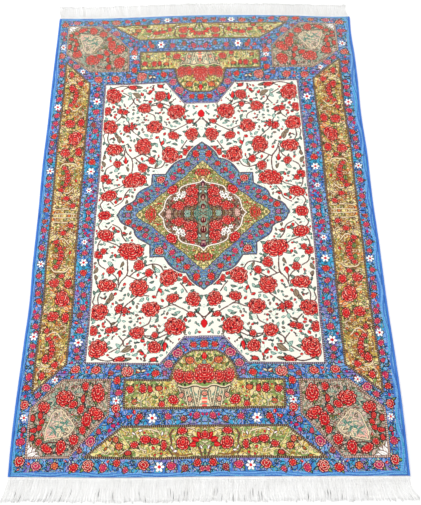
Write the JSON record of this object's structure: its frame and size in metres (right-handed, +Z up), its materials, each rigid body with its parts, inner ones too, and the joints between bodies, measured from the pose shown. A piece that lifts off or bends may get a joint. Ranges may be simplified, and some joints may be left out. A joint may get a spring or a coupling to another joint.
{
  "type": "persian rug",
  "caption": "Flat rectangular hand-knotted rug with a floral medallion pattern, corded side edges and a warp fringe at both ends.",
  "frame": {"origin": "centre of the footprint, on the surface that the rug lies on", "axes": "+Z up out of the pile; +Y along the rug's length, fringes included, from the near end to the far end; +X to the right across its width"},
  "size_m": [1.0334, 1.6322, 0.0062],
  "materials": {
    "knotted_pile": "short knotted pile, matt with a soft sheen; red roses on ivory, blue, gold and taupe grounds",
    "selvedge_yarn": "blue yarn wrapped over side cords, matt",
    "warp_fringe": "undyed off-white warp yarn, soft and matt"
  },
  "bodies": {
    "root": {"knotted_rug": "knotted_pile", "selvedge_left": "selvedge_yarn", "selvedge_right": "selvedge_yarn", "fringe_near": "warp_fringe", "fringe_far": "warp_fringe"}
  },
  "joints": []
}
